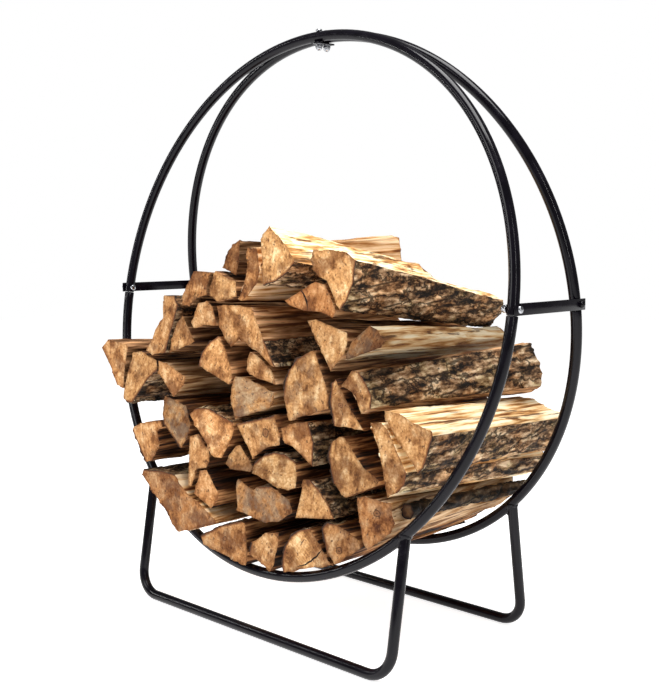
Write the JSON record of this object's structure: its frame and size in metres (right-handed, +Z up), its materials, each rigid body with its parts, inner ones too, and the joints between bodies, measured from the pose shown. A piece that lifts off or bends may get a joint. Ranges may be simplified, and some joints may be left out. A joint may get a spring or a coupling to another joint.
{
  "type": "bundle of split firewood in a round tube rack",
  "caption": "Split firewood logs stacked in the lower half of a round rack: two leaning steel-tube hoops on two U-shaped feet, joined at the sides by flat bars.",
  "frame": {"origin": "centre of the footprint, on the floor under the rack's middle", "axes": "+Z up; -Y towards the sawn log ends that face front; +X to the right of someone facing them"},
  "size_m": [1.0382, 0.4577, 1.1151],
  "materials": {
    "frame_black": "gloss to satin black powder coat on round steel tube",
    "fastener_chrome": "bright plated acorn nuts",
    "fastener_black": "satin black",
    "log_wood": "air-dried split hardwood, rough, with dark furrowed bark on the round sides"
  },
  "bodies": {
    "root": {"hoop_front_upper": "frame_black", "hoop_front_lower": "frame_black", "hoop_rear_upper": "frame_black", "hoop_rear_lower": "frame_black", "foot_front": "frame_black", "foot_rear": "frame_black", "side_bar_left": "frame_black", "side_bar_right": "frame_black", "side_bolt_rear_left": "fastener_black", "side_bolt_rear_right": "fastener_black", "top_plate": "frame_black", "side_bolt_front_left": "fastener_chrome", "side_bolt_front_right": "fastener_chrome", "top_bolt_front": "fastener_chrome", "top_bolt_rear": "fastener_chrome", "log_01": "log_wood", "log_02": "log_wood", "log_03": "log_wood", "log_04": "log_wood", "log_05": "log_wood", "log_06": "log_wood", "log_07": "log_wood", "log_08": "log_wood", "log_09": "log_wood", "log_10": "log_wood", "log_11": "log_wood", "log_12": "log_wood", "log_13": "log_wood", "log_14": "log_wood", "log_15": "log_wood", "log_16": "log_wood", "log_17": "log_wood", "log_18": "log_wood", "log_19": "log_wood", "log_20": "log_wood", "log_21": "log_wood", "log_22": "log_wood", "log_23": "log_wood", "log_24": "log_wood", "log_25": "log_wood", "log_26": "log_wood", "log_27": "log_wood", "log_28": "log_wood", "log_29": "log_wood", "log_30": "log_wood", "log_31": "log_wood", "log_32": "log_wood", "log_33": "log_wood", "log_34": "log_wood", "log_35": "log_wood", "log_36": "log_wood", "log_37": "log_wood", "log_38": "log_wood", "log_39": "log_wood", "log_40": "log_wood", "log_41": "log_wood", "log_42": "log_wood", "log_43": "log_wood"}
  },
  "joints": []
}
